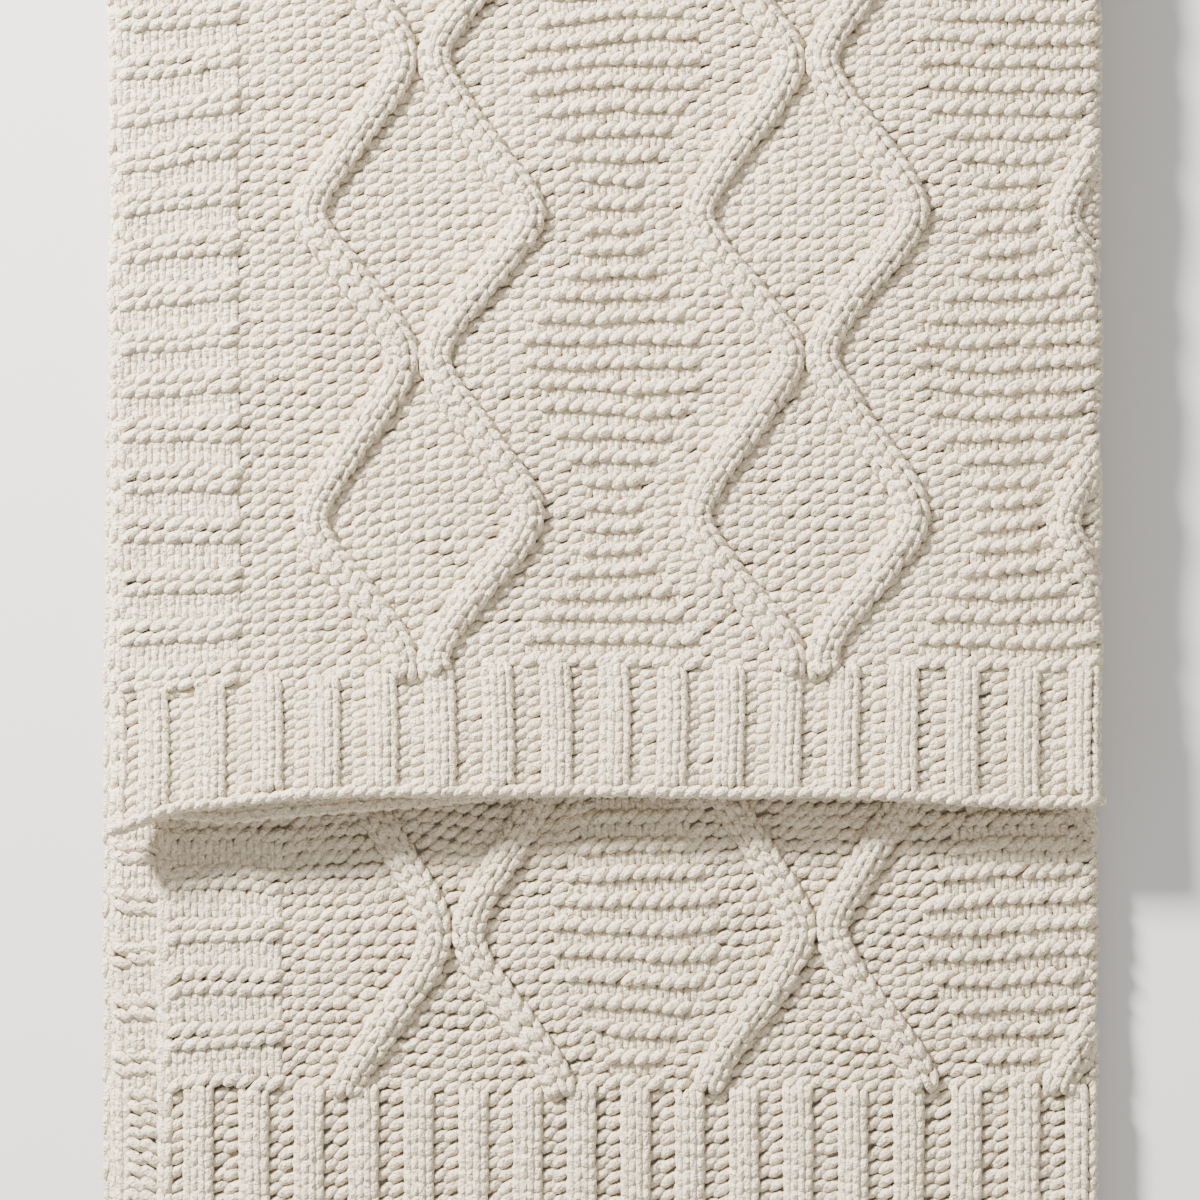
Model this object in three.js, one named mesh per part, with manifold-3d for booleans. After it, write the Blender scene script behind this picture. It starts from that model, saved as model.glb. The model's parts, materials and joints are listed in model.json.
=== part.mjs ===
// A chunky cable-knit throw, folded twice and lying flat. Millimetres, +Z up.
// X runs across the folded throw, Y along it, and the origin is the middle of its underside.
//
// The cloth is first folded in half lengthwise, which gives two leaves joined by a rolled side fold
// at +X. The doubled strip is then folded over crosswise at +Y. The stretch that lies on the ground
// is the lower leg, the stretch folded back over it is the flap, and the flap is shorter.
// From the ground up the four leaves are lower_under, lower_upper, flap_inner and flap_outer.
import * as THREE from "three";
import { mergeVertices } from "three/addons/utils/BufferGeometryUtils.js";
import Module from "manifold-3d";

const wasm = await Module();
wasm.setup();

// Folded size
const WIDTH = 620;
const LENGTH = 900;
const FLAP_LENGTH = 617; // from the crosswise fold to the hem of the flap
const GAP = 0.3; // clearance between neighbouring pieces

// The cloth
const LEAF = 11.5; // thickness over the raised stitches
const GROUND = 7.5; // thickness of the plain ground between them
const LEAF_GAP = 0.5; // between the two leaves of the doubled strip
const FLAP_GAP = 1; // between the lower leg and the flap lying on it

// Knitted bands and edges
const RIB_BAND = 82; // ribbed hem, with its edge
const SIDE_BAND = 74; // welted side border, with its selvedge
const HEM_EDGE = 6; // chain of the cast-on or bind-off row
const SELVEDGE = 6; // chain down the side
const RIB_REPEAT = 35.3; // two knit and two purl columns
const WELT_REPEAT = { lower: 34, flap: 28.8 }; // two knit and two purl rows

// Cable pairs: two ropes that swing apart and meet again
const ROPE_WIDTH = 18;
const ROPE_SWING = { narrow: 10, wide: 71 }; // rope centre to pair centre
const CABLES = {
  lower: { centres: [-92, 134, 360], meetY: -247.5, period: 210 },
  flap: { centres: [-112, 126.5, 365], meetY: -80, period: 186 },
};

// Left edge of each leaf: the layers don't lie exactly on each other
const LEFT = { lower_under: -310, lower_upper: -276, flap_inner: -300, flap_outer: -298 };

// Places worked out from the sizes above
const STRIP = 2 * LEAF + LEAF_GAP; // thickness of the doubled strip
const FOLD_R = STRIP / 2; // outer radius of the side fold
const FOLD_X = WIDTH / 2 - FOLD_R; // where the side fold starts
const HINGE_Z = STRIP + FLAP_GAP / 2; // the crosswise fold turns about this line
const HINGE_Y = LENGTH / 2 - HINGE_Z;
const LOWER_HEM_Y = -LENGTH / 2;
const FLAP_HEM_Y = LENGTH / 2 - FLAP_LENGTH;
const FLAP_BASE_Z = STRIP + FLAP_GAP;

const IVORY = { color: 0xe9e1d2, roughness: 0.95, metalness: 0 };
const OAT = { color: 0xdfd5c3, roughness: 0.95, metalness: 0 };
const CREAM = { color: 0xf0e9dc, roughness: 0.92, metalness: 0 };

const throwBlanket = new THREE.Group();
throwBlanket.name = "cable_knit_throw";
const lowerLeg = new THREE.Group();
lowerLeg.name = "lower_leg";
const flap = new THREE.Group();
flap.name = "flap";
throwBlanket.add(lowerLeg, flap);

function addPiece(group, name, geometry, finish) {
  const mesh = new THREE.Mesh(geometry, new THREE.MeshStandardMaterial(finish));
  mesh.name = name;
  group.add(mesh);
}

// A box given by its corners.
function block(x0, x1, y0, y1, z0, z1) {
  const box = new THREE.BoxGeometry(x1 - x0, y1 - y0, z1 - z0);
  return box.translate((x0 + x1) / 2, (y0 + y1) / 2, (z0 + z1) / 2);
}

// The side view of a leaf: flat below, and raised and sunk in turn above.
function wavedSection(length, repeat, low, high) {
  const section = new THREE.Shape();
  const slope = repeat * 0.1;
  section.moveTo(0, 0);
  section.lineTo(length, 0);
  section.lineTo(length, low);
  for (let end = length - slope; end - repeat / 2 > slope; end -= repeat) {
    section.lineTo(end, low);
    section.lineTo(end - slope, high);
    section.lineTo(end - repeat / 2 + slope, high);
    section.lineTo(end - repeat / 2, low);
  }
  section.lineTo(0, low);
  section.closePath();
  return section;
}

// Ribs run along Y, so their section lies across X.
function ribbed(x0, x1, y0, y1, z0) {
  const section = wavedSection(x1 - x0, RIB_REPEAT, GROUND, LEAF);
  const ribs = new THREE.ExtrudeGeometry(section, { depth: y1 - y0, bevelEnabled: false });
  return ribs.rotateX(Math.PI / 2).translate(x0, y1, z0);
}

// Welts run along X, so their section lies along Y.
function welted(x0, x1, y0, y1, z0, repeat) {
  const section = wavedSection(y1 - y0, repeat, GROUND, LEAF);
  const welts = new THREE.ExtrudeGeometry(section, { depth: x1 - x0, bevelEnabled: false });
  return welts.rotateX(Math.PI / 2).rotateZ(Math.PI / 2).translate(x0, y0, z0);
}

// An oval section for a path that runs level: its first half-size stands upright.
function ovalSection(height, width) {
  return new THREE.Shape().absellipse(0, 0, height / 2, width / 2, 0, 2 * Math.PI);
}

// A straight bar of oval section between two points.
function bar(from, to, height, width) {
  return new THREE.ExtrudeGeometry(ovalSection(height, width), {
    extrudePath: new THREE.LineCurve3(from, to),
    steps: 1,
    curveSegments: 5,
  });
}

// One rope of a cable pair as a smooth line swinging to one side of the pair's centre.
function ropeLine(centre, side, meetY, period, y0, y1, z) {
  const points = [];
  const stations = Math.ceil((y1 - y0) / (period / 8));
  for (let i = 0; i <= stations; i += 1) {
    const y = y0 + ((y1 - y0) * i) / stations;
    const phase = (y - meetY) / period;
    const apart = 1 - Math.abs(1 - 2 * (phase - Math.floor(phase))); // 0 where the ropes meet
    const swing = ROPE_SWING.narrow + (ROPE_SWING.wide - ROPE_SWING.narrow) * apart;
    points.push(new THREE.Vector3(centre + side * swing, y, z));
  }
  return new THREE.CatmullRomCurve3(points);
}

function solid(geometry) {
  const bare = new THREE.BufferGeometry();
  bare.setAttribute("position", geometry.getAttribute("position"));
  if (geometry.index) bare.setIndex(geometry.index);
  const merged = mergeVertices(bare, 1e-3);
  return new wasm.Manifold(
    new wasm.Mesh({
      numProp: 3,
      vertProperties: merged.attributes.position.array,
      triVerts: new Uint32Array(merged.index.array),
    }),
  );
}

function geometryOf(made) {
  const mesh = made.getMesh();
  const geometry = new THREE.BufferGeometry();
  geometry.setAttribute("position", new THREE.BufferAttribute(mesh.vertProperties, 3));
  geometry.setIndex(new THREE.BufferAttribute(mesh.triVerts, 1));
  geometry.computeVertexNormals();
  return geometry;
}

// The field: plain ground with the cable ropes standing on it.
function cabledField(x0, x1, y0, y1, z0, cables) {
  let field = solid(block(x0, x1, y0, y1, z0, z0 + GROUND));
  const section = ovalSection(LEAF - 0.5, ROPE_WIDTH);
  for (const centre of cables.centres) {
    for (const side of [-1, 1]) {
      const z = z0 + (LEAF + 0.5) / 2;
      const path = ropeLine(centre, side, cables.meetY, cables.period, y0, y1, z);
      const rope = new THREE.ExtrudeGeometry(section, {
        extrudePath: path,
        steps: path.points.length * 2,
        curveSegments: 4,
      });
      field = field.add(solid(rope));
    }
  }
  return geometryOf(field.intersect(solid(block(x0, x1, y0, y1, z0, z0 + LEAF))));
}

// One leaf of the doubled strip, from its hem to the crosswise fold.
function addLeaf(group, name, baseZ, hemY, edgeName, faceUp, leg) {
  const left = LEFT[name];
  const inner = left + SELVEDGE + GAP;
  const bandEnd = left + SIDE_BAND;
  const right = FOLD_X - GAP;
  const top = HINGE_Y - GAP;
  const edgeEnd = hemY + HEM_EDGE;
  const ribEnd = hemY + RIB_BAND;
  const topZ = baseZ + LEAF;
  const midZ = baseZ + LEAF / 2;

  const hem = bar(
    new THREE.Vector3(left, hemY + HEM_EDGE / 2, midZ),
    new THREE.Vector3(right, hemY + HEM_EDGE / 2, midZ),
    LEAF - 1,
    HEM_EDGE,
  );
  addPiece(group, name + edgeName, hem, CREAM);
  const chain = bar(
    new THREE.Vector3(left + SELVEDGE / 2, edgeEnd + GAP, midZ),
    new THREE.Vector3(left + SELVEDGE / 2, top, midZ),
    LEAF - 1,
    SELVEDGE,
  );
  addPiece(group, name + "_selvedge", chain, CREAM);

  const ribStart = edgeEnd + GAP;
  const ribs = faceUp
    ? ribbed(inner, right, ribStart, ribEnd, baseZ)
    : block(inner, right, ribStart, ribEnd, baseZ, topZ);
  addPiece(group, name + "_rib_hem", ribs, OAT);

  const bandStart = ribEnd + GAP;
  const welts = faceUp
    ? welted(inner, bandEnd, bandStart, top, baseZ, WELT_REPEAT[leg])
    : block(inner, bandEnd, bandStart, top, baseZ, topZ);
  addPiece(group, name + "_side_band", welts, OAT);

  const field = faceUp
    ? cabledField(bandEnd + GAP, right, bandStart, top, baseZ, CABLES[leg])
    : block(bandEnd + GAP, right, bandStart, top, baseZ, topZ);
  addPiece(group, name + "_field", field, IVORY);
}

// The rolled side fold: a half-round roll along the doubled strip.
function sideFold(hemY, baseZ) {
  const section = new THREE.Shape();
  section.absarc(0, 0, FOLD_R, -Math.PI / 2, Math.PI / 2, false);
  section.closePath();
  const roll = new THREE.ExtrudeGeometry(section, {
    depth: HINGE_Y - GAP - hemY,
    bevelEnabled: false,
    curveSegments: 12,
  });
  return roll.rotateX(Math.PI / 2).translate(FOLD_X, HINGE_Y - GAP, baseZ + FOLD_R);
}

// The crosswise fold: the outer leaf turns round the inner one.
function topFold(left, innerR, outerR) {
  const section = new THREE.Shape();
  section.absarc(0, 0, outerR, -Math.PI / 2, Math.PI / 2, false);
  if (innerR > 0) section.absarc(0, 0, innerR, Math.PI / 2, -Math.PI / 2, true);
  section.closePath();
  const turn = new THREE.ExtrudeGeometry(section, {
    depth: FOLD_X - GAP - left,
    bevelEnabled: false,
    curveSegments: 16,
  });
  return turn
    .rotateX(Math.PI / 2)
    .rotateZ(Math.PI / 2)
    .translate(left, HINGE_Y, HINGE_Z);
}

// Where both folds meet: the side fold's half-round section carried round the crosswise fold.
function foldCorner() {
  const middle = HINGE_Z - FOLD_R;
  const profile = [];
  for (let i = 0; i <= 12; i += 1) {
    const angle = Math.PI / 2 - (Math.PI * i) / 12;
    const radial = middle + FOLD_R * Math.sin(angle);
    profile.push(new THREE.Vector2(radial, FOLD_R * Math.cos(angle)));
  }
  profile.push(profile[0].clone());
  const ring = new THREE.LatheGeometry(profile, 32);
  ring.rotateZ(-Math.PI / 2).translate(FOLD_X, HINGE_Y, HINGE_Z);
  const reach = HINGE_Z + GAP;
  const beyond = block(
    FOLD_X,
    FOLD_X + reach,
    HINGE_Y,
    HINGE_Y + reach,
    HINGE_Z - reach,
    HINGE_Z + reach,
  );
  return geometryOf(solid(ring).intersect(solid(beyond)));
}

const underZ = 0;
const upperZ = LEAF + LEAF_GAP;
addLeaf(lowerLeg, "lower_under", underZ, LOWER_HEM_Y, "_cast_on_edge", false, "lower");
addLeaf(lowerLeg, "lower_upper", upperZ, LOWER_HEM_Y, "_cast_on_edge", true, "lower");
addPiece(lowerLeg, "lower_side_fold", sideFold(LOWER_HEM_Y, underZ), IVORY);

addLeaf(flap, "flap_inner", FLAP_BASE_Z, FLAP_HEM_Y, "_bind_off_edge", false, "flap");
addLeaf(flap, "flap_outer", FLAP_BASE_Z + upperZ, FLAP_HEM_Y, "_bind_off_edge", true, "flap");
addPiece(flap, "flap_side_fold", sideFold(FLAP_HEM_Y, FLAP_BASE_Z), IVORY);

const outerLeft = (LEFT.lower_under + LEFT.flap_outer) / 2;
const innerLeft = (LEFT.lower_upper + LEFT.flap_inner) / 2;
const outerInnerR = HINGE_Z - LEAF;
const innerOuterR = HINGE_Z - upperZ;
addPiece(lowerLeg, "top_fold_outer", topFold(outerLeft, outerInnerR, HINGE_Z), IVORY);
addPiece(lowerLeg, "top_fold_inner", topFold(innerLeft, 0, innerOuterR), IVORY);
addPiece(lowerLeg, "top_fold_corner", foldCorner(), IVORY);

export default throwBlanket;
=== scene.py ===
"""A chunky cable-knit throw, folded twice, knitted stitch by stitch in mesh code.

Each leaf of the folded cloth is addressed by column and row, as a knitter's chart is. Columns count
from the selvedge to the lengthwise fold, and rows from the flap's bound-off hem, over the crosswise
fold, to the lower leg's cast-on hem. Every visible loop of yarn is a short, round, closed strand.
"""
import json
import math
from types import SimpleNamespace

import bpy
import numpy as np
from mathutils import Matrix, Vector


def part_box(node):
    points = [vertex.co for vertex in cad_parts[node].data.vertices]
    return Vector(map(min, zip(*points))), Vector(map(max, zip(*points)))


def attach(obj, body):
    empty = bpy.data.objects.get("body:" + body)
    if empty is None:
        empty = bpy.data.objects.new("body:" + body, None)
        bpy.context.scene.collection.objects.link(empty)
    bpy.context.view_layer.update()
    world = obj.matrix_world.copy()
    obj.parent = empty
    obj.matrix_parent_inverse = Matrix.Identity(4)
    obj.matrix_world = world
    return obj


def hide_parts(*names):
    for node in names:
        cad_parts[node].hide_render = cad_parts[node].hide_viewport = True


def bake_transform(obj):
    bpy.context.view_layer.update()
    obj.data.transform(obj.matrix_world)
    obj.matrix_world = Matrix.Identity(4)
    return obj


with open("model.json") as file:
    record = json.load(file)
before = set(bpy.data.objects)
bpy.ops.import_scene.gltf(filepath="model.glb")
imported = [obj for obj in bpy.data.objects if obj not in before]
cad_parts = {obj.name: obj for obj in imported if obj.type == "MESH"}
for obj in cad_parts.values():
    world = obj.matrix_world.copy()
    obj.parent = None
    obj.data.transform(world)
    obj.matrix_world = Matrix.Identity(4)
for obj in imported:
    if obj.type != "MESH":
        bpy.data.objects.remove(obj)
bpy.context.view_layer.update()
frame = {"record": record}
rng = np.random.default_rng(41)

MM = 0.001

# ---------------------------------------------------------------- the frame's own places
HINGE = frame["record"]["behaviour"]["joints"][0]["pos_m"]
HINGE_Y, HINGE_Z = HINGE[1], HINGE[2]


def low(node, axis):
    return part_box(node)[0][axis]


def high(node, axis):
    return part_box(node)[1][axis]


FLAP_HEM_Y = low("flap_outer_bind_off_edge", 1)
LOWER_HEM_Y = low("lower_upper_cast_on_edge", 1)
FOLD_X = low("lower_side_fold", 0)
LEAF_D = (low("lower_upper_field", 2) - low("lower_under_field", 2)) / 2
STRIP_R = HINGE_Z - high("lower_side_fold", 2) / 2
FLAP_RUN = HINGE_Y - FLAP_HEM_Y
LOWER_RUN = HINGE_Y - LOWER_HEM_Y
APEX_RUN = LEAF_D * math.pi / 2

# ---------------------------------------------------------------- the knitter's chart
COLUMNS = 68.5  # from the selvedge to the lengthwise fold
END_COLUMN = int(COLUMNS) + 1
FOLD_COLUMN = END_COLUMN - 2  # the first column on the roll of the lengthwise fold
ROWS = 193
BAND_COLUMNS = 9
RIB_ROWS = 12
RIB_START = 10  # a knit rib starts at this column
RIB_REPEAT = 4
WELT_REPEAT = 4
CABLE_ROWS = 26  # from one place where a pair's ropes meet to the next
PAIRS = (21.5, 48.3, 73.2)  # middle column of each cable pair
DIAMONDS = (35, 62)  # middle column of each garter diamond
DIAMOND_HALF = (6.5, 1.5)  # half its columns, where the ropes meet and where they are apart
SWING = (10 * MM, 67 * MM)  # rope to pair middle, where the ropes meet and where they are apart
SWING_LEAD = 0.22  # how far before halfway the ropes turn back, in radians
TURN_SHARPNESS = 0.9  # near 0 for a sine, near 1 for a zigzag
MEET_ROW = 13.1  # a row where the ropes of every pair meet
LOW_MEET_ROW = MEET_ROW + 6 * CABLE_ROWS  # the same, in view on the lower leg
LOW_SPREAD_ROW = LOW_MEET_ROW - 13.3  # about where they are furthest apart, before that

# Column places across each leg: selvedge, band edge, first pair, second pair
COLUMN_MARKS = (0, BAND_COLUMNS, PAIRS[0], PAIRS[1])
FLAP_MARKS = (0, 80 * MM, 191 * MM, 429.5 * MM)
LOWER_MARKS = (0, 77.5 * MM, 184 * MM, 410 * MM)

# Row places along each leg
RIB_DEPTH = 79 * MM  # of the flap's rib
ROW_PITCH = 7.154 * MM  # on the flap, above its rib
LOW_SPREAD_Y, LOW_MEET_Y = -144 * MM, -253 * MM  # of the rows of those names

# Heights over the middle of a leaf
SHEET_TOP, SHEET_BASE = -3.0 * MM, -4.8 * MM
GROUND_W = -1.3 * MM
RIDGE_W = 0.8 * MM
TROUGH_W = -1.7 * MM
RIB_W = 1.4 * MM
WELT_W = 1.6 * MM
BAND_W = 0.4 * MM

# Cable ropes
ROPE_LANE = 4.7 * MM  # from the rope's middle to the middle of each of its two columns
ROPE_HALF_WIDTH = 9.6 * MM
ROPE_CORE = 6.8 * MM
BARE = 6.2 * MM  # no ground stitch lies nearer than this to the middle of a rope

# Loops of an edge's chain: depth in from the edge, height, and slant, all in millimetres
HEM_LOOPS = (
    (3.2, 1.8, 2.4),
    (2.2, -1.6, -1.9),
    (3.0, -4.6, -2.2),
    (7.6, -3.6, 1.6),
)
SELVEDGE_LOOPS = (
    (3.2, -0.4, 1.5),
    (2.4, -3.4, -1.5),
    (6.8, 0.2, -1.2),
    (6.6, -6.8, 1.0),
)

PIECE_TRIANGLES = 180000


def leaf(side, left_flap, left_fold, left_turn, left_lower, fold_rows):
    """One leaf of the doubled strip, running from the flap's hem to the lower leg's hem.

    Side is 1 for the outer leaf and -1 for the inner one. The left values are the x of its selvedge
    at the hem, before the crosswise fold, after it, and on the lower leg.
    """
    turn = math.pi * (STRIP_R + side * LEAF_D)
    lower_start = FLAP_RUN + turn
    spread_place = lower_start + HINGE_Y - LOW_SPREAD_Y
    meet_place = lower_start + HINGE_Y - LOW_MEET_Y
    end = lower_start + LOWER_RUN
    fold_row = RIB_ROWS + (FLAP_RUN - RIB_DEPTH) / ROW_PITCH
    turned_row = fold_row + fold_rows
    return SimpleNamespace(
        side=side,
        turn=turn,
        lower_start=lower_start,
        end=end,
        rows=(0, RIB_ROWS, fold_row, turned_row, LOW_SPREAD_ROW, LOW_MEET_ROW, ROWS),
        row_places=(0, RIB_DEPTH, FLAP_RUN, lower_start, spread_place, meet_place, end),
        left_places=(0, FLAP_RUN, lower_start, spread_place, end),
        left=(left_flap, left_fold, left_turn, left_lower, left_lower),
    )


OUTER = leaf(
    side=1,
    left_flap=low("flap_outer_selvedge", 0) - 5 * MM,
    left_fold=low("flap_outer_selvedge", 0) - 6 * MM,
    left_turn=low("lower_under_selvedge", 0) + 6 * MM,
    left_lower=low("lower_under_selvedge", 0),
    fold_rows=7.7,
)
INNER = leaf(
    side=-1,
    left_flap=low("flap_inner_selvedge", 0),
    left_fold=low("flap_inner_selvedge", 0) + 6 * MM,
    left_turn=low("lower_upper_selvedge", 0) - 12 * MM,
    left_lower=low("lower_upper_selvedge", 0),
    fold_rows=2.7,
)

# The first row on the crosswise fold, and the first row past it
OUTER_FOLD = (int(round(OUTER.rows[2])), int(round(OUTER.rows[3])))
INNER_FOLD = (int(round(INNER.rows[2])), int(round(INNER.rows[3])))


def smooth(t):
    t = np.clip(t, 0, 1)
    return t * t * (3 - 2 * t)


def rise(value, start, run):
    """0 up to the start, 1 from the end of the run, and smooth in between."""
    return smooth((value - start) / run)


def bell(value, middle, width):
    """1 at the middle, fading to 0 on both sides."""
    return np.exp(-(((value - middle) / width) ** 2))


def ripple(x, y, seed, waves=6, longest=0.25):
    """A smooth, seeded height field between about -1 and 1."""
    pick = np.random.default_rng(seed)
    total = np.zeros(np.broadcast(x, y).shape)
    for _ in range(waves):
        angle = pick.uniform(0, 2 * math.pi)
        length = longest * pick.uniform(0.45, 1)
        phase = pick.uniform(0, 2 * math.pi)
        total += np.sin((x * math.cos(angle) + y * math.sin(angle)) * 2 * math.pi / length + phase)
    return total / math.sqrt(waves * 2)


# ---------------------------------------------------------------- chart to cloth to space
def row_place(cloth, row):
    return np.interp(row, cloth.rows, cloth.row_places)


def apex(cloth, s):
    """How far across the leaf the outermost line of the lengthwise fold lies."""
    return FOLD_X + APEX_RUN - np.interp(s, cloth.left_places, cloth.left)


def column_place(cloth, column, s):
    """How far across the leaf a column lies, which differs a little between the two legs."""
    lower = rise(s, FLAP_RUN - 60 * MM, cloth.turn + 120 * MM)
    flap_u = np.interp(column, COLUMN_MARKS, FLAP_MARKS)
    lower_u = np.interp(column, COLUMN_MARKS, LOWER_MARKS)
    u = flap_u + (lower_u - flap_u) * lower
    beyond = np.clip((column - COLUMN_MARKS[-1]) / (COLUMNS - COLUMN_MARKS[-1]), 0, None)
    return u + beyond * (apex(cloth, s) - u)


def hem_drop(u, s):
    """How far the flap's rows sag towards its free corner."""
    at_rib = 13 * MM * (1 - rise(u, 55 * MM, 170 * MM))
    at_corner = 12 * MM * bell(u, 0, 24 * MM)
    near_selvedge = 11 * MM * (1 - rise(u, 0, 165 * MM))
    near_fold = 6 * MM * rise(u, 420 * MM, 160 * MM)
    at_hem = at_corner + near_selvedge + near_fold
    share = rise(s, 0, 80 * MM)
    fade = 1 - rise(s, 80 * MM, 230 * MM)
    return (at_hem * (1 - share) + at_rib * share) * fade


def inner_peek(u, s):
    """How far the inner leaf's hem hangs out below the outer one."""
    near_hem = 1 - rise(s, 5 * MM, 90 * MM)
    across = rise(u, 15 * MM, 60 * MM) * (1 - rise(u, 120 * MM, 170 * MM))
    return 10 * MM * near_hem * across


def settle(points, s):
    """Lets the folded stack lie unevenly, and lifts the flap's hem over a shallow pocket."""
    x, y, z = points[..., 0], points[..., 1], points[..., 2]
    height = z / (2 * HINGE_Z)
    clear_of_fold = 1 - rise(s, FLAP_RUN - 100 * MM, 100 * MM)
    on_flap = clear_of_fold * rise(z, HINGE_Z - 4.8 * MM, 8 * MM)
    near_hem = 1 - rise(s, 5 * MM, 110 * MM)
    pocket = bell(x, -190 * MM, 100 * MM)
    lift = 2.5 * MM + 6.5 * MM * pocket
    pressed = pocket * bell(y, FLAP_HEM_Y, 70 * MM)
    z = z + 1.1 * MM * height * ripple(x, y, 3) + on_flap * near_hem * lift
    z = z * (1 - 0.3 * pressed * (1 - on_flap))
    at_selvedge = 1 - rise(x, -300 * MM, 60 * MM)
    sway = 1.3 * MM * ripple(x * 0.4, y, 5, longest=0.2)
    sway = sway + 1.5 * MM * at_selvedge * ripple(0, y, 31, longest=0.1)
    x = x + sway * height
    x = x + 4.5 * MM * rise(x, 160 * MM, 140 * MM)
    y = y + 1.2 * MM * ripple(x, y * 0.6, 8, longest=0.3) * height
    return np.stack([x, y, z], axis=-1)


def to_space(cloth, u, s, w):
    """A point u across, s along and w above the middle of a leaf, on its right side."""
    u, s, w = np.broadcast_arrays(u, s, w)
    left = np.interp(s, cloth.left_places, cloth.left)
    x_flat = left + u
    theta = np.clip((x_flat - FOLD_X) / LEAF_D, 0, math.pi / 2)
    past = np.maximum(x_flat - FOLD_X - APEX_RUN, 0)
    x = np.minimum(x_flat, FOLD_X) + (LEAF_D + w) * np.sin(theta)
    radial = STRIP_R + cloth.side * ((LEAF_D + w) * np.cos(theta) - past)
    phi = math.pi / 2 - np.clip((s - FLAP_RUN) / cloth.turn, 0, 1) * math.pi
    flap_back = np.maximum(FLAP_RUN - s, 0)
    lower_back = np.maximum(s - cloth.lower_start, 0)
    y = HINGE_Y - flap_back - lower_back + radial * np.cos(phi)
    z = HINGE_Z + radial * np.sin(phi)
    drop = hem_drop(u, s) if cloth.side > 0 else hem_drop(u, s) + inner_peek(u, s)
    y = y - np.where(s < FLAP_RUN, drop, 0)
    return settle(np.stack([x, y, z], axis=-1), s)


# ---------------------------------------------------------------- what each stitch is
def apart(row):
    """0 where the ropes of a pair meet and 1 where they are furthest apart, with rounded turns."""
    turn = 2 * math.pi * (np.asarray(row) - MEET_ROW) / CABLE_ROWS
    wave = np.cos(turn + SWING_LEAD * (1 - np.cos(turn)) / 2)
    return 0.5 - np.arcsin(TURN_SHARPNESS * wave) / (2 * math.asin(TURN_SHARPNESS))


def rope_place(cloth, pair, side, row):
    """How far across the leaf the middle of a rope lies."""
    s = row_place(cloth, row)
    return column_place(cloth, pair, s) + side * (SWING[0] + (SWING[1] - SWING[0]) * apart(row))


def in_rib(row):
    return (row < RIB_ROWS) | (row >= ROWS - RIB_ROWS)


def in_diamond(column, row):
    """True for stitches of the garter diamonds, which fill the room between the cable pairs."""
    half = DIAMOND_HALF[0] + (DIAMOND_HALF[1] - DIAMOND_HALF[0]) * apart(row + 0.5)
    inside = np.zeros(np.broadcast(column, row).shape, bool)
    for middle in DIAMONDS:
        inside |= np.abs(column + 0.5 - middle) < half
    return inside & ~in_rib(row) & (column >= BAND_COLUMNS)


def is_knit(column, row):
    """True where the right side shows a knit stitch, False where it shows a purl."""
    rib = (column - RIB_START) % RIB_REPEAT < RIB_REPEAT // 2
    welt = (row - RIB_ROWS) % WELT_REPEAT >= WELT_REPEAT // 2
    band = column < BAND_COLUMNS
    garter = in_diamond(column, row) & (row % 2 == 1)
    return np.where(in_rib(row), rib, np.where(band, welt, garter))


def stitch_height(column, row):
    """Middle height of the yarn of each stitch."""
    knit = is_knit(column, row)
    rib_height = np.where(knit, RIB_W, TROUGH_W)
    welt_height = np.where(knit, BAND_W, WELT_W)
    garter_height = np.where(knit, TROUGH_W, RIDGE_W)
    field = np.where(in_diamond(column, row), garter_height, GROUND_W)
    return np.where(in_rib(row), rib_height, np.where(column < BAND_COLUMNS, welt_height, field))


def rope_gap(cloth, column, row):
    """Distance across the cloth from each stitch to the nearest cable rope."""
    s = row_place(cloth, row + 0.5)
    u = column_place(cloth, column + 0.5, s)
    gaps = [
        np.abs(u - rope_place(cloth, pair, side, row + 0.5)) for pair in PAIRS for side in (-1, 1)
    ]
    return np.where(in_rib(row), 1, np.min(gaps, axis=0))


# ---------------------------------------------------------------- strands of yarn
def strand_set(cloth, u, s, w, radius, flat=0.92, edge=False):
    """Many strands at once: each row of u, s and w is the middle line of one."""
    return SimpleNamespace(cloth=cloth, u=u, s=s, w=w, radius=radius, flat=flat, edge=edge)


def taper(count, fullness=4):
    """Strand thickness along its length, full in the middle and round at the ends."""
    t = np.abs(np.linspace(-1, 1, count))
    return np.sqrt(np.clip(1.12 - t**fullness, 0.05, 1))


def other_face(w):
    """The same height on the wrong side of the cloth."""
    return SHEET_TOP + SHEET_BASE - w


def free_face(cloth, s):
    """1 where a leaf's right side is open to view, 0 where the floor or another leaf covers it."""
    if cloth.side > 0:
        return 1 - rise(s, FLAP_RUN, 20 * MM)
    return rise(s, cloth.lower_start + FLAP_RUN + 10 * MM, 20 * MM)


def fold_squeeze(cloth, u, s):
    """Ropes are pulled flat where they turn round the lengthwise fold."""
    return 0.35 + 0.65 * rise(apex(cloth, s) - u, 0, 22 * MM)


def wobble(shape, amount):
    return rng.uniform(-amount, amount, shape)


def chart_drift(column, row):
    """Uneven tension: how far rows wander, in rows, and how they sag towards the selvedge."""
    wide = 0.38 * ripple(column * 0.02, row * 0.015, 17, waves=8, longest=0.5)
    fine = 0.14 * ripple(column * 0.1, row * 0.1, 23, waves=8, longest=0.8)
    sag = 1.1 * rise(row, 32, 14) * (1 - rise(row, 70, 20))
    return wide + fine - sag * (1 - rise(column, -1, BAND_COLUMNS + 1))


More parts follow.
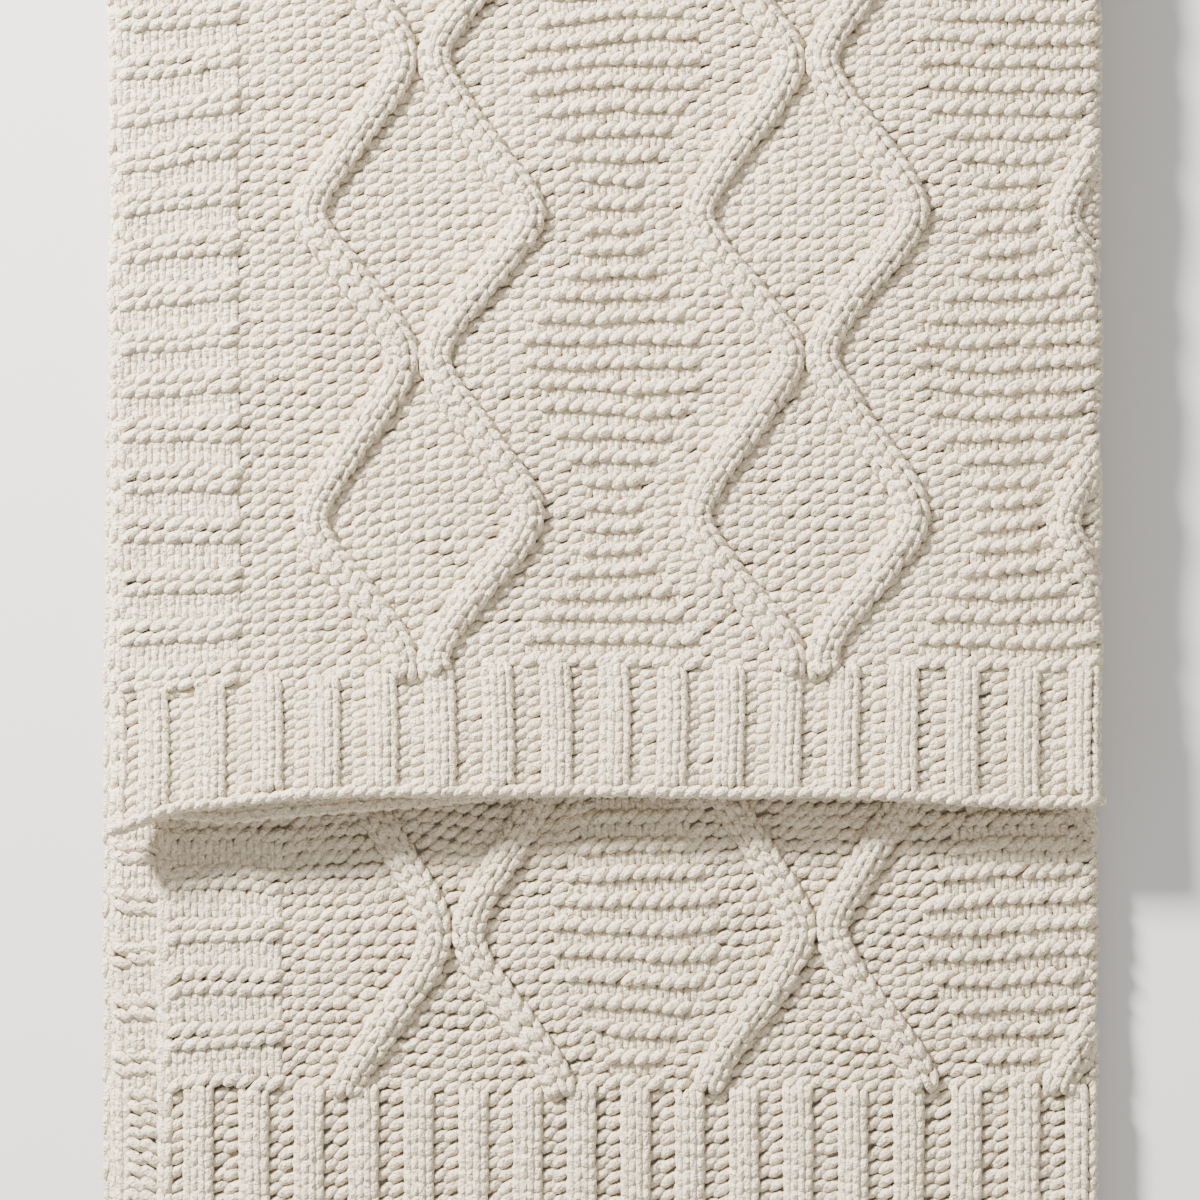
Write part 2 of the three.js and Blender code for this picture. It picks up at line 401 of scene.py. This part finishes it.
def purl_strands(cloth, column, row, height, samples, wrong_side=False):
    """Purl bumps: fat strands across the stitch that slant, each tucked under its neighbour."""
    t = np.linspace(-1, 1, samples)[None, :]
    count = len(column)
    reach = 0.8 + wobble((count, 1), 0.06)
    slant = cloth.side * (0.34 + wobble((count, 1), 0.08))
    c = column[:, None] + 0.5 + wobble((count, 1), 0.08) + reach * t
    r = row[:, None] + 0.5 + wobble((count, 1), 0.09) + slant * np.sin(t * math.pi / 2)
    r = r + chart_drift(c, r)
    s = row_place(cloth, r)
    u = column_place(cloth, c, s)
    w = height[:, None] + 1.5 * MM * (1 - 1.7 * t**2) - 0.9 * MM * t + wobble((count, 1), 0.3 * MM)
    radius = (3.4 * MM + wobble((count, 1), 0.25 * MM)) * taper(samples, 2.4)[None, :]
    w = other_face(w) if wrong_side else w
    return strand_set(cloth, u, s, w, radius, flat=0.8)


def knit_strands(cloth, column, row, height, samples, crown, wrong_side=False):
    """Knit stitches: two legs that lean together into a V."""
    t = np.linspace(-1, 1, samples)[None, :]
    sets = []
    for lean in (-1, 1):
        count = len(column)
        spread = lean * (0.25 - 0.13 * t)
        c = column[:, None] + 0.5 + spread + wobble((count, 1), 0.03)
        r = row[:, None] + 0.5 + 0.8 * t + wobble((count, 1), 0.07)
        r = r + chart_drift(c, r)
        s = row_place(cloth, r)
        u = column_place(cloth, c, s)
        w = height[:, None] + 0.9 * MM * (1 - 1.9 * t**2) + crown(c)
        w = other_face(w) if wrong_side else w
        radius = (2.9 * MM + wobble((count, 1), 0.3 * MM)) * taper(samples, 3)[None, :]
        sets.append(strand_set(cloth, u, s, w, radius, flat=0.85))
    return sets


def rib_crown(column):
    """Rounds the top of a two-column knit rib."""
    from_middle = (column - RIB_START) % RIB_REPEAT - 1
    return 1.5 * MM * (1 - np.clip(from_middle, -1.3, 1.3) ** 2)


def no_crown(column):
    return np.zeros(column.shape)


def rope_strands(cloth, pair, side, first_row, last_row, samples):
    """A cable rope: two knit columns, four legs side by side over a rounded top.

    The legs are placed square to the rope's own line, so it keeps its width as it swings.
    """
    rows = np.arange(first_row, last_row)
    t = np.linspace(-1, 1, samples)[None, :]
    sets = []
    for lane in (-1, 1):
        for lean in (-1, 1):
            count = len(rows)
            r = rows[:, None] + 0.5 + 0.72 * t + wobble((count, 1), 0.08)
            across = lane * ROPE_LANE + lean * (2.4 * MM - 1.9 * MM * t)
            across = across + wobble((count, 1), 0.3 * MM)
            step = 0.05
            du = rope_place(cloth, pair, side, r + step) - rope_place(cloth, pair, side, r - step)
            ds = row_place(cloth, r + step) - row_place(cloth, r - step)
            length = np.hypot(du, ds)
            u = rope_place(cloth, pair, side, r) + across * ds / length
            s = row_place(cloth, r + chart_drift(np.full(r.shape, pair), r)) - across * du / length
            arch = np.sqrt(np.clip(1 - (across / ROPE_HALF_WIDTH) ** 2, 0.05, 1))
            w = -2.6 * MM + 5.6 * MM * arch + 1.6 * MM * (1 - 2.0 * t**2)
            w = w + wobble((count, 1), 0.3 * MM) + 2.1 * MM * free_face(cloth, s)
            w = SHEET_TOP + (w - SHEET_TOP) * fold_squeeze(cloth, u, s)
            radius = (3.0 * MM + wobble((count, 1), 0.3 * MM)) * taper(samples, 2.6)[None, :]
            inside = (u.max(axis=1) < apex(cloth, s[:, 0]) + 1 * MM) & (s.min(axis=1) > 0)
            sets.append(strand_set(cloth, u[inside], s[inside], w[inside], radius[inside]))
    return sets


def rope_core(cloth, pair, side, first_row, last_row):
    """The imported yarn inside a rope, as long strands under the four legs."""
    r = np.linspace(first_row, last_row, int((last_row - first_row) * 3))[None, :]
    u = rope_place(cloth, pair, side, r)
    s = row_place(cloth, r + chart_drift(np.full(r.shape, pair), r))
    keep = u[0] < apex(cloth, s[0]) - 2 * MM
    runs = np.split(np.arange(r.shape[1]), np.where(np.diff(keep.astype(int)) != 0)[0] + 1)
    sets = []
    for run in runs:
        if len(run) < 4 or not keep[run[0]]:
            continue
        radius = np.full((1, len(run)), ROPE_CORE)
        radius[0, [0, -1]] = 2 * MM
        w = -1.9 * MM + 1.4 * MM * free_face(cloth, s[:, run])
        sets.append(strand_set(cloth, u[:, run], s[:, run], w, radius, flat=0.55))
    return sets


def hem_strands(cloth, at_start, samples):
    """The chain that binds a hem: cords of slanted loops over both faces and round the edge."""
    columns = np.arange(0, END_COLUMN)
    t = np.linspace(-1, 1, samples)[None, :]
    sets = []
    edge = 0 if at_start else cloth.end
    inward = 1 if at_start else -1
    for depth, height, slant in HEM_LOOPS:
        count = len(columns)
        slope = slant * cloth.side
        c = columns[:, None] + 0.5 + 0.74 * t + wobble((count, 1), 0.06)
        s = edge + inward * (depth * MM + slope * MM * t + wobble((count, 1), 0.3 * MM))
        u = column_place(cloth, np.clip(c, 0, COLUMNS), s)
        w = height * MM + 1.1 * MM * (1 - 2 * t**2)
        radius = (3.2 * MM + wobble((count, 1), 0.25 * MM)) * taper(samples, 3)[None, :]
        s, w = np.broadcast_to(s, u.shape), np.broadcast_to(w, u.shape)
        sets.append(strand_set(cloth, u, s, w, radius, edge=True))
    return sets


def selvedge_strands(cloth, first_row, last_row, samples):
    """The chain selvedge: one long loop every two rows, on both faces of the edge."""
    rows = np.arange(first_row, last_row, 2)
    t = np.linspace(-1, 1, samples)[None, :]
    sets = []
    for depth, height, slant in SELVEDGE_LOOPS:
        count = len(rows)
        r = rows[:, None] + 1 + 1.25 * t + wobble((count, 1), 0.15)
        s = row_place(cloth, r + chart_drift(np.zeros(r.shape), r))
        u = depth * MM + slant * MM * t + wobble((count, 1), 0.5 * MM)
        w = height * MM + 1.2 * MM * (1 - 2 * t**2) + 0 * r
        radius = (3.0 * MM + wobble((count, 1), 0.3 * MM)) * taper(samples)[None, :]
        sets.append(strand_set(cloth, np.broadcast_to(u, s.shape), s, w, radius, edge=True))
    return sets


def tube_arrays(strands, sides):
    """Rings of vertices along each strand, and their heights as seen from their side of the cloth."""
    centre = to_space(strands.cloth, strands.u, strands.s, strands.w)
    above = to_space(strands.cloth, strands.u, strands.s, strands.w + 0.5 * MM)
    up = above - centre
    up /= np.linalg.norm(up, axis=-1, keepdims=True)
    along = np.gradient(centre, axis=1)
    across = np.cross(along, up)
    across /= np.linalg.norm(across, axis=-1, keepdims=True)
    lift = np.cross(across, along)
    lift /= np.linalg.norm(lift, axis=-1, keepdims=True)
    angle = np.linspace(0, 2 * math.pi, sides, endpoint=False)
    rough = 1 + wobble(centre.shape[:2] + (sides,), 0.09)
    ring = strands.radius[:, :, None] * rough
    verts = centre[:, :, None, :] + (
        across[:, :, None, :] * (ring * np.cos(angle))[..., None]
        + lift[:, :, None, :] * (ring * np.sin(angle) * strands.flat)[..., None]
    )
    height = strands.w[:, :, None] + ring * np.sin(angle) * strands.flat
    # Chain edges keep one height, so the painted shade leaves them light
    if strands.edge:
        height = np.full(height.shape, WELT_W)
    return verts, np.maximum(height, other_face(height))


def tube_faces(count, samples, sides):
    """Corner indices of the side quads and the two end caps of each tube."""
    first = np.arange(count)[:, None, None] * samples * sides
    i, k = np.meshgrid(np.arange(samples - 1), np.arange(sides), indexing="ij")
    after = (k + 1) % sides
    quad = np.stack([i * sides + k, i * sides + after, (i + 1) * sides + after, (i + 1) * sides + k], -1)
    quads = (first[..., None] + quad[None]).reshape(-1, 4)
    start = np.arange(sides)[::-1]
    end = (samples - 1) * sides + np.arange(sides)
    caps = (first[:, :, 0:1].reshape(-1, 1, 1) + np.stack([start, end])[None]).reshape(-1, sides)
    return quads, caps


def store_height(mesh, heights):
    """Keeps each vertex's height, in millimetres, for the yarn material's painted shade."""
    attribute = mesh.attributes.new("yarn_height", "FLOAT", "POINT")
    attribute.data.foreach_set("value", (heights / MM).astype(np.float32))


def build_mesh(name, sets, sides):
    """One mesh of many closed strands."""
    verts, heights, quads, caps = [], [], [], []
    offset = 0
    for strands in sets:
        count, samples = strands.u.shape
        if count == 0:
            continue
        v, h = tube_arrays(strands, sides)
        q, c = tube_faces(count, samples, sides)
        verts.append(v.reshape(-1, 3))
        heights.append(h.reshape(-1))
        quads.append(q + offset)
        caps.append(c + offset)
        offset += count * samples * sides
    verts = np.concatenate(verts)
    quads = np.concatenate(quads)
    caps = np.concatenate(caps)
    mesh = bpy.data.meshes.new(name)
    mesh.vertices.add(len(verts))
    mesh.vertices.foreach_set("co", verts.astype(np.float32).ravel())
    loops = np.concatenate([quads.ravel(), caps.ravel()])
    mesh.loops.add(len(loops))
    mesh.loops.foreach_set("vertex_index", loops.astype(np.int32))
    starts = np.concatenate(
        [np.arange(len(quads)) * 4, len(quads) * 4 + np.arange(len(caps)) * sides]
    )
    mesh.polygons.add(len(starts))
    mesh.polygons.foreach_set("loop_start", starts.astype(np.int32))
    mesh.update(calc_edges=True)
    mesh.validate()
    mesh.polygons.foreach_set("use_smooth", np.ones(len(mesh.polygons), bool))
    store_height(mesh, np.concatenate(heights))
    return mesh


def split_sets(sets, sides):
    """Shares strands out along the cloth so that no mesh is too heavy."""
    sizes = [x.u.shape[0] * ((x.u.shape[1] - 1) * sides * 2 + 2 * (sides - 2)) for x in sets]
    parts = max(1, math.ceil(sum(sizes) / PIECE_TRIANGLES))
    if parts == 1:
        return [sets]
    shares = []
    places = np.concatenate([x.s.mean(axis=1) for x in sets if len(x.s)])
    limits = np.quantile(places, np.linspace(0, 1, parts + 1))
    limits[0], limits[-1] = -math.inf, math.inf
    for low_end, high_end in zip(limits[:-1], limits[1:]):
        share = []
        for x in sets:
            place = x.s.mean(axis=1)
            pick = (place >= low_end) & (place < high_end)
            arrays = (x.u[pick], x.s[pick], x.w[pick], x.radius[pick])
            share.append(strand_set(x.cloth, *arrays, x.flat, x.edge))
        shares.append(share)
    return shares


# ---------------------------------------------------------------- materials
# Uneven dye and spinning: noise scale and detail, the ramp's ends, and the darkest shade
MOTTLES = (
    (14, 3, (0.3, 0.7), (0.9, 0.89, 0.87)),
    (190, 3, (0.3, 0.66), (0.84, 0.82, 0.78)),
    (430, 4, (0.34, 0.58), (0.66, 0.62, 0.56)),
)
MOTTLING = 0.8
FIBRE_SCALE, PLY_SCALE, ROUGHNESS_SCALE = 430, 230, 500
FUZZ = 0.8
HOLE_SHADE_HEIGHT, TOP_HEIGHT = -4.5, 1.5  # in mm: painted shade of the holes below, the yarn's own colour from halfway up


def value_noise(nodes, links, coords, scale, detail):
    noise = nodes.new("ShaderNodeTexNoise")
    noise.inputs["Scale"].default_value = scale
    noise.inputs["Detail"].default_value = detail
    noise.inputs["Roughness"].default_value = 0.6
    links.new(coords, noise.inputs["Vector"])
    return noise.outputs["Fac"]


def ramp(nodes, links, source, stops):
    node = nodes.new("ShaderNodeValToRGB")
    elements = node.color_ramp.elements
    while len(elements) < len(stops):
        elements.new(0.5)
    for element, (place, colour) in zip(elements, stops):
        element.position = place
        element.color = (*colour, 1)
    links.new(source, node.inputs["Fac"])
    return node.outputs["Color"]


def multiply_colour(nodes, links, colour, shade):
    mix = nodes.new("ShaderNodeMix")
    mix.data_type = "RGBA"
    mix.blend_type = "MULTIPLY"
    mix.inputs["Factor"].default_value = MOTTLING
    links.new(colour, mix.inputs["A"])
    links.new(shade, mix.inputs["B"])
    return mix.outputs["Result"]


def add_bump(nodes, links, height, distance, below=None):
    """A bump of the given depth, on top of another one if there is one."""
    bump = nodes.new("ShaderNodeBump")
    bump.inputs["Strength"].default_value = FUZZ
    bump.inputs["Distance"].default_value = distance
    links.new(height, bump.inputs["Height"])
    if below:
        links.new(below, bump.inputs["Normal"])
    return bump.outputs["Normal"]


def yarn_material(name, light, hollow_shade):
    """Soft undyed yarn: uneven ivory, painted shade darker and warmer down between the stitches, fibres
    in bump.
    """
    material = bpy.data.materials.new(name)
    material.use_nodes = True
    nodes, links = material.node_tree.nodes, material.node_tree.links
    shader = nodes["Principled BSDF"]
    place = nodes.new("ShaderNodeTexCoord").outputs["Object"]

    # Painted shade: the lower the yarn lies, the darker and warmer its colour
    height = nodes.new("ShaderNodeAttribute")
    height.attribute_name = "yarn_height"
    span = nodes.new("ShaderNodeMapRange")
    span.inputs["From Min"].default_value = HOLE_SHADE_HEIGHT
    span.inputs["From Max"].default_value = TOP_HEIGHT
    links.new(height.outputs["Fac"], span.inputs["Value"])
    colour = ramp(nodes, links, span.outputs["Result"], [(0.0, hollow_shade), (0.5, light), (1.0, light)])

    for scale, detail, (first, last), shade in MOTTLES:
        noise = value_noise(nodes, links, place, scale, detail)
        mottle = ramp(nodes, links, noise, [(first, shade), (last, (1, 1, 1))])
        colour = multiply_colour(nodes, links, colour, mottle)
    links.new(colour, shader.inputs["Base Color"])

    rough = nodes.new("ShaderNodeMapRange")
    rough.inputs["To Min"].default_value = 0.82
    rough.inputs["To Max"].default_value = 1.0
    links.new(value_noise(nodes, links, place, ROUGHNESS_SCALE, 2), rough.inputs["Value"])
    links.new(rough.outputs["Result"], shader.inputs["Roughness"])

    fibres = add_bump(nodes, links, value_noise(nodes, links, place, FIBRE_SCALE, 4), 4 * MM)
    plies = add_bump(nodes, links, value_noise(nodes, links, place, PLY_SCALE, 2), 5 * MM, fibres)
    links.new(plies, shader.inputs["Normal"])

    shader.inputs["Sheen Weight"].default_value = 0.25
    shader.inputs["Sheen Roughness"].default_value = 0.6
    shader.inputs["Sheen Tint"].default_value = (1.0, 0.97, 0.92, 1)
    shader.inputs["Specular IOR Level"].default_value = 0.15
    return material


IVORY = (0.97, 0.85, 0.65)
PALE_IVORY = (0.98, 0.865, 0.67)
# Painted shade for yarn deep between the stitches; the yarn itself is ivory throughout
HOLE_SHADE = (0.5, 0.4, 0.29)
# Painted shade: the backing's colour, darker than the yarn
SHADE = (0.62, 0.53, 0.42)
MATERIALS = {
    "cable_knit": yarn_material("ivory_field_yarn", IVORY, HOLE_SHADE),
    "ribbed_knit": yarn_material("ivory_rib_yarn", IVORY, HOLE_SHADE),
    "welted_knit": yarn_material("ivory_band_yarn", PALE_IVORY, HOLE_SHADE),
    "chain_edge": yarn_material("ivory_edge_yarn", PALE_IVORY, HOLE_SHADE),
}
# The inner side of the loops: the same yarn, coloured darker as painted shade between the stitches
BACKING = yarn_material("backing_yarn", SHADE, SHADE)


# ---------------------------------------------------------------- pieces
def add_object(name, mesh, material):
    piece = bpy.data.objects.new(name, mesh)
    bpy.context.scene.collection.objects.link(piece)
    mesh.materials.append(material)
    return piece


def add_stitches(node, sets, slot, sides, body=None, fold=None):
    """Knits the strands that stand for one CAD node, gives them their finish, and their body unless they
    lie on the fold.
    """
    pieces = []
    for number, share in enumerate(split_sets(sets, sides), 1):
        name = f"{node}_stitches_{number}"
        piece = add_object(name, build_mesh(name, share, sides), MATERIALS[slot])
        if fold is None:
            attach(piece, body)
        else:
            blend_fold(piece)
        if number == 1:
            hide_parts(node)
        pieces.append(piece)
    return pieces


def blend_fold(piece):
    """Bakes the place of a piece on the crosswise fold into its mesh; it rides on neither leg."""
    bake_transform(piece)


def chart(first_column, last_column, first_row, last_row):
    """The column and the row of every stitch of a patch."""
    column, row = np.meshgrid(
        np.arange(first_column, last_column), np.arange(first_row, last_row), indexing="ij"
    )
    return column.ravel(), row.ravel()


def ground_strands(cloth, first_column, last_column, first_row, last_row, samples):
    """Every purl and knit stitch of a patch, apart from those under a rope."""
    column, row = chart(first_column, last_column, first_row, last_row)
    gap = rope_gap(cloth, column, row)
    seen = gap > BARE
    column, row, gap = column[seen], row[seen], gap[seen]
    knit = is_knit(column, row).astype(bool)
    height = stitch_height(column, row) - 1.2 * MM * (1 - rise(gap, 9 * MM, 9 * MM))
    ribbed = knit & in_rib(row)
    plain = knit & ~in_rib(row)
    sets = [purl_strands(cloth, column[~knit], row[~knit], height[~knit], samples)]
    sets += knit_strands(cloth, column[ribbed], row[ribbed], height[ribbed], samples, rib_crown)
    sets += knit_strands(cloth, column[plain], row[plain], height[plain], samples, no_crown)
    return sets


def all_ropes(cloth, first_row, last_row, samples):
    """Both ropes of every pair, with their cores."""
    sets = []
    for pair in PAIRS:
        for side in (-1, 1):
            sets += rope_strands(cloth, pair, side, first_row, last_row, samples)
            sets += rope_core(cloth, pair, side, first_row, last_row)
    return sets


def knit_leaf(prefix, edge_node, cloth, first_row, last_row, hem_at_start, body, samples, sides):
    """The field, band, ribbed hem and edges of one leaf."""
    top_row, end_row = (RIB_ROWS, last_row) if hem_at_start else (first_row, ROWS - RIB_ROWS)
    rib_rows = (1, RIB_ROWS) if hem_at_start else (ROWS - RIB_ROWS, ROWS - 1)
    pieces = []
    field = ground_strands(cloth, BAND_COLUMNS, FOLD_COLUMN, top_row, end_row, samples)
    field += all_ropes(cloth, top_row, end_row, samples)
    pieces += add_stitches(f"{prefix}_field", field, "cable_knit", sides, body)
    band = ground_strands(cloth, 1, BAND_COLUMNS, top_row, end_row, samples)
    pieces += add_stitches(f"{prefix}_side_band", band, "welted_knit", sides, body)
    rib = ground_strands(cloth, 1, FOLD_COLUMN, *rib_rows, samples)
    pieces += add_stitches(f"{prefix}_rib_hem", rib, "ribbed_knit", sides, body)
    chain = hem_strands(cloth, hem_at_start, samples)
    pieces += add_stitches(f"{prefix}_{edge_node}", chain, "chain_edge", sides, body)
    selvedge = selvedge_strands(cloth, first_row, last_row, samples)
    pieces += add_stitches(f"{prefix}_selvedge", selvedge, "chain_edge", sides, body)
    return pieces


def knit_side_fold(node, outer_rows, inner_rows, body, samples, sides):
    """The last columns of both leaves, which roll round the lengthwise fold."""
    sets = []
    for cloth, rows in ((OUTER, outer_rows), (INNER, inner_rows)):
        sets += ground_strands(cloth, FOLD_COLUMN, END_COLUMN, *rows, samples)
    return add_stitches(node, sets, "cable_knit", sides, body)


def wrong_side_strip(samples, sides):
    """The wrong side of the lowest leaf, where it shows past the leaf on top of it."""
    column, row = chart(1, 5, OUTER_FOLD[1], ROWS)
    knit = ~is_knit(column, row).astype(bool)
    height = np.where(knit, BAND_W, WELT_W)
    purls, knits = (column[~knit], row[~knit]), (column[knit], row[knit])
    sets = [purl_strands(OUTER, *purls, height[~knit], samples, wrong_side=True)]
    sets += knit_strands(OUTER, *knits, height[knit], samples, no_crown, wrong_side=True)
    name = "lower_under_wrong_side_stitches"
    piece = add_object(name, build_mesh(name, sets, sides), MATERIALS["welted_knit"])
    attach(piece, "lower_leg")
    return [piece]


def knit_fold(node, cloth, rows, samples, sides):
    """Every stitch of one leaf on the crosswise fold."""
    sets = ground_strands(cloth, 1, END_COLUMN, *rows, samples)
    sets += all_ropes(cloth, *rows, samples)
    sets += selvedge_strands(cloth, *rows, samples)
    return add_stitches(node, sets, "cable_knit", sides, fold=cloth)


CLOTH_STEPS = 90  # across a leaf
CLOTH_LINES = 70  # along a leg
FOLD_LINES = 13  # round the crosswise fold
CLOTH_MARGIN = 3 * MM  # the chain edges reach this much past the cloth behind them


def closed_shell(name, outer, inner):
    """A thin closed shell between two grids of points."""
    rows, columns = outer.shape[:2]
    count = rows * columns
    index = np.arange(count).reshape(rows, columns)
    verts = np.concatenate([outer.reshape(-1, 3), inner.reshape(-1, 3)])
    faces = []
    for i in range(rows - 1):
        for j in range(columns - 1):
            a, b, c, d = index[i, j], index[i, j + 1], index[i + 1, j + 1], index[i + 1, j]
            faces.append((a, b, c, d))
            faces.append((d + count, c + count, b + count, a + count))
    rim = [*index[0, :-1], *index[:-1, -1], *index[-1, :0:-1], *index[:0:-1, 0]]
    for a, b in zip(rim, rim[1:] + rim[:1]):
        faces.append((b, a, a + count, b + count))
    mesh = bpy.data.meshes.new(name)
    mesh.from_pydata(verts.tolist(), [], [tuple(int(v) for v in face) for face in faces])
    mesh.validate()
    mesh.update()
    mesh.polygons.foreach_set("use_smooth", np.ones(len(mesh.polygons), bool))
    store_height(mesh, np.full(len(mesh.vertices), SHEET_TOP))
    return mesh


def leaf_grid(cloth, s, w):
    """Points of a leaf on lines across it, from the selvedge to the lengthwise fold."""
    share = np.linspace(0, 1, CLOTH_STEPS)[None, :]
    s = s[:, None]
    u = CLOTH_MARGIN + share * (apex(cloth, s) - CLOTH_MARGIN)
    return to_space(cloth, u, s, np.full(u.shape, w))


def leg_cloth(name, body, outer_s, inner_s):
    """Both leaves of one leg and the roll between them, as one cloth."""
    grids = []
    for w in (SHEET_TOP, SHEET_BASE):
        outer = leaf_grid(OUTER, outer_s, w)
        inner = leaf_grid(INNER, inner_s, w)[:, ::-1]
        grids.append(np.concatenate([outer, inner[:, 1:]], axis=1))
    cloth = add_object(name, closed_shell(name, *grids), BACKING)
    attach(cloth, body)
    return cloth


def fold_cloth(name, cloth):
    """The cloth of one leaf on the crosswise fold."""
    s = np.linspace(FLAP_RUN, cloth.lower_start, FOLD_LINES)
    grids = [leaf_grid(cloth, s, w) for w in (SHEET_TOP, SHEET_BASE)]
    piece = add_object(name, closed_shell(name, *grids), BACKING)
    blend_fold(piece)
    return piece


def place_camera():
    """Straight above, as in the photo. At the flap's height the picture is span metres wide."""
    sensor = 36
    distance = 4.0
    span = 0.744
    data = bpy.data.cameras.new("camera")
    data.sensor_width = sensor
    data.lens = sensor * (distance - HINGE_Z * 1.5) / span
    camera = bpy.data.objects.new("camera", data)
    camera.location = (0, -0.046, distance)
    bpy.context.scene.collection.objects.link(camera)
    bpy.context.scene.camera = camera


def area_light(name, location, target, size, power, colour):
    data = bpy.data.lights.new(name, "AREA")
    data.shape = "DISK"
    data.size = size
    data.energy = power
    data.color = colour
    light = bpy.data.objects.new(name, data)
    light.location = location
    aim = np.array(target) - np.array(location)
    bpy.context.scene.collection.objects.link(light)
    light.rotation_euler = Vector(aim).to_track_quat("-Z", "Y").to_euler()


def light_studio():
    """A low key from the upper left, which brings out the stitches, in a bright pale room."""
    area_light("key", (-2.0, 1.9, 1.6), (0, 0, 0), 0.6, 640, (1, 0.97, 0.93))
    area_light("fill", (1.8, -1.2, 2.4), (0, 0, 0), 2.4, 20, (1, 0.98, 0.96))
    world = bpy.data.worlds.new("studio")
    bpy.context.scene.world = world
    world.use_nodes = True
    background = world.node_tree.nodes["Background"]
    background.inputs["Color"].default_value = (1, 0.985, 0.96, 1)
    background.inputs["Strength"].default_value = 0.78


def lay_floor():
    mesh = bpy.data.meshes.new("floor")
    mesh.from_pydata([(-6, -6, 0), (6, -6, 0), (6, 6, 0), (-6, 6, 0)], [], [(0, 1, 2, 3)])
    material = bpy.data.materials.new("pale_floor")
    material.use_nodes = True
    shader = material.node_tree.nodes["Principled BSDF"]
    shader.inputs["Base Color"].default_value = (0.62, 0.61, 0.6, 1)
    shader.inputs["Roughness"].default_value = 0.9
    floor = add_object("floor", mesh, material)
    floor.location.z = -0.6 * MM


place_camera()
light_studio()
lay_floor()

FINE = {"samples": 8, "sides": 8}
PLAIN = {"samples": 7, "sides": 6}
COARSE = {"samples": 6, "sides": 5}

flap_pieces = knit_leaf(
    "flap_outer", "bind_off_edge", OUTER, 0, OUTER_FOLD[0], True, "flap", **FINE
)
flap_pieces += knit_leaf(
    "flap_inner", "bind_off_edge", INNER, 0, INNER_FOLD[0], True, "flap", **PLAIN
)
flap_pieces += knit_side_fold(
    "flap_side_fold", (0, OUTER_FOLD[0]), (0, INNER_FOLD[0]), "flap", **PLAIN
)
lower_pieces = knit_leaf(
    "lower_upper", "cast_on_edge", INNER, INNER_FOLD[1], ROWS, False, "lower_leg", **PLAIN
)
lower_pieces += knit_leaf(
    "lower_under", "cast_on_edge", OUTER, OUTER_FOLD[1], ROWS, False, "lower_leg", **COARSE
)
lower_pieces += knit_side_fold(
    "lower_side_fold", (OUTER_FOLD[1], ROWS), (INNER_FOLD[1], ROWS), "lower_leg", **PLAIN
)
lower_pieces += wrong_side_strip(**PLAIN)

outer_fold_pieces = knit_fold("top_fold_outer", OUTER, OUTER_FOLD, **PLAIN)
inner_fold_pieces = knit_fold("top_fold_inner", INNER, INNER_FOLD, **PLAIN)

flap_s = np.linspace(CLOTH_MARGIN, FLAP_RUN, CLOTH_LINES)
lower_s = np.linspace(0, LOWER_RUN - CLOTH_MARGIN, CLOTH_LINES)
flap_cloth = leg_cloth("flap_cloth", "flap", flap_s, flap_s)
lower_cloth = leg_cloth(
    "lower_cloth", "lower_leg", OUTER.lower_start + lower_s, INNER.lower_start + lower_s
)
outer_fold_cloth = fold_cloth("outer_fold_cloth", OUTER)
inner_fold_cloth = fold_cloth("inner_fold_cloth", INNER)
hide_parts("top_fold_corner")


def plain(box):
    return [[float(v) for v in corner] for corner in box]
